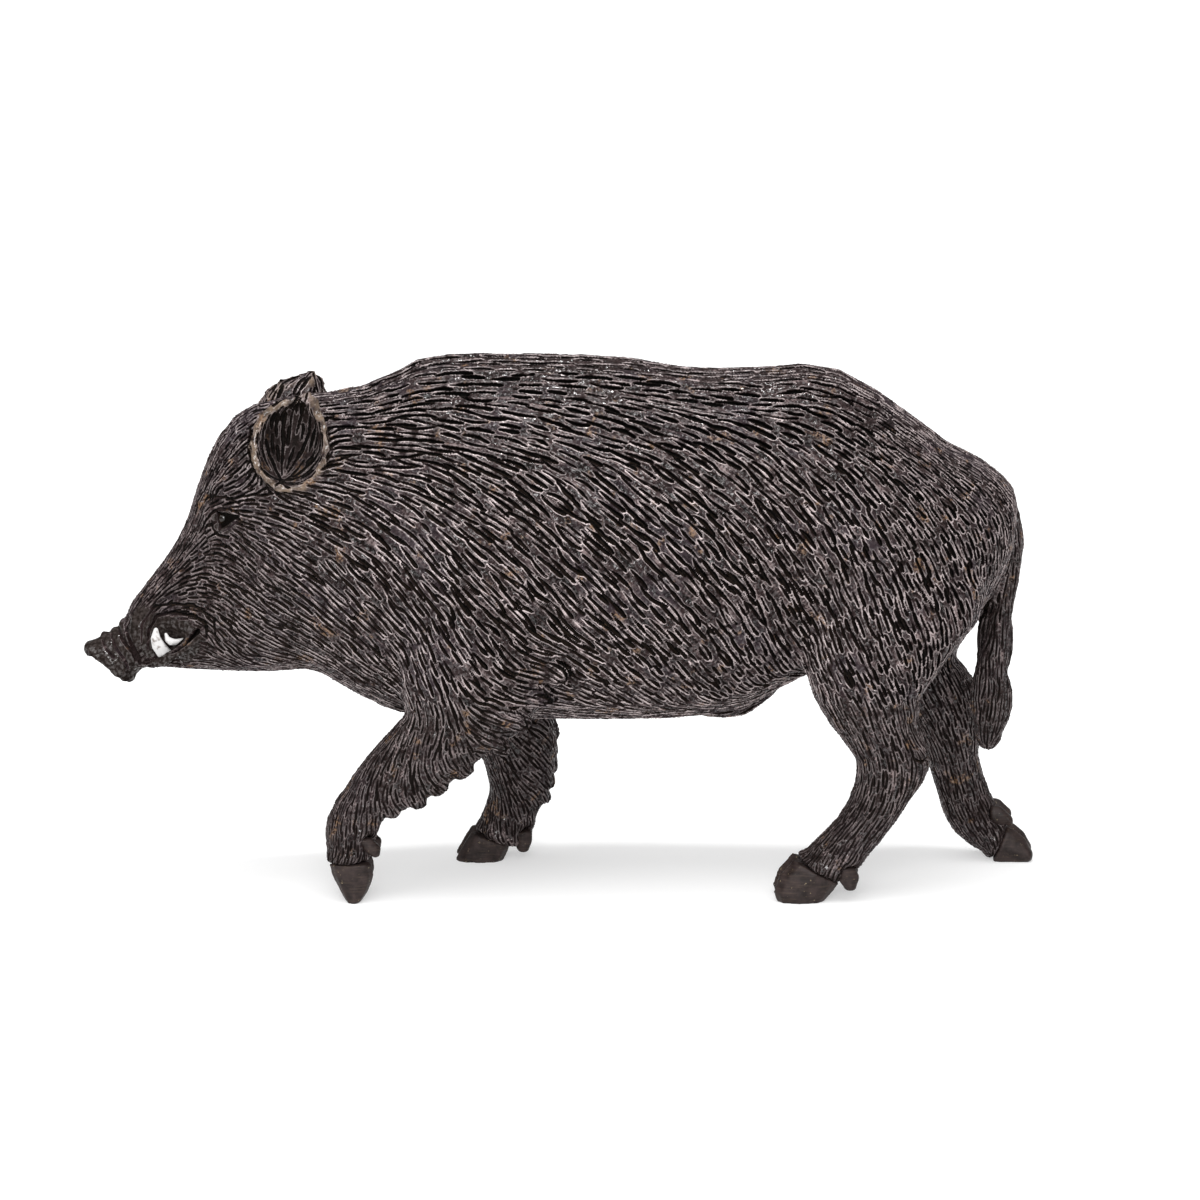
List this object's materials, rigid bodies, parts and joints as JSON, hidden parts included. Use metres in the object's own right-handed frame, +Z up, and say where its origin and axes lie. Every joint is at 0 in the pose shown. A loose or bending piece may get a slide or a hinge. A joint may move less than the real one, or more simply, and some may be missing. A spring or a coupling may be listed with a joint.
{
  "type": "toy wild boar figure",
  "caption": "Solid moulded plastic toy figure of a walking wild boar with a sculpted coat, cupped ears, a disc snout, tusks and a tasselled tail, standing on its hooves.",
  "frame": {"origin": "on the floor, under the middle of the figure's box", "axes": "+Z up, the boar faces -X, and its left side is -Y"},
  "size_m": [0.1196, 0.0324, 0.0671],
  "materials": {
    "hide": "dark grey-brown painted sculpted coat, satin on the ridges of the back and matt in the grooves, with ochre dry-brushed flecks",
    "hoof": "matt dark brown paint, slightly scuffed at the edges",
    "tusk": "white paint, satin",
    "eye": "black gloss paint"
  },
  "bodies": {
    "root": {"head": "hide", "lower_jaw": "hide", "snout": "hide", "ear_left": "hide", "ear_right": "hide", "neck": "hide", "trunk": "hide", "hindquarters": "hide", "tail": "hide", "tail_tassel": "hide", "foreleg_left_upper": "hide", "foreleg_left_lower": "hide", "foreleg_right_upper": "hide", "foreleg_right_lower": "hide", "hindleg_left_upper": "hide", "hindleg_left_lower": "hide", "hindleg_right_upper": "hide", "hindleg_right_lower": "hide", "foreleg_left_claw_inner": "hoof", "foreleg_left_claw_outer": "hoof", "foreleg_left_dewclaw_inner": "hoof", "foreleg_left_dewclaw_outer": "hoof", "foreleg_right_claw_inner": "hoof", "foreleg_right_claw_outer": "hoof", "foreleg_right_dewclaw_inner": "hoof", "foreleg_right_dewclaw_outer": "hoof", "hindleg_left_claw_inner": "hoof", "hindleg_left_claw_outer": "hoof", "hindleg_left_dewclaw_inner": "hoof", "hindleg_left_dewclaw_outer": "hoof", "hindleg_right_claw_inner": "hoof", "hindleg_right_claw_outer": "hoof", "hindleg_right_dewclaw_inner": "hoof", "hindleg_right_dewclaw_outer": "hoof", "tusk_lower_left": "tusk", "tusk_lower_right": "tusk", "tusk_upper_left": "tusk", "tusk_upper_right": "tusk", "eye_left": "eye", "eye_right": "eye"}
  },
  "joints": []
}
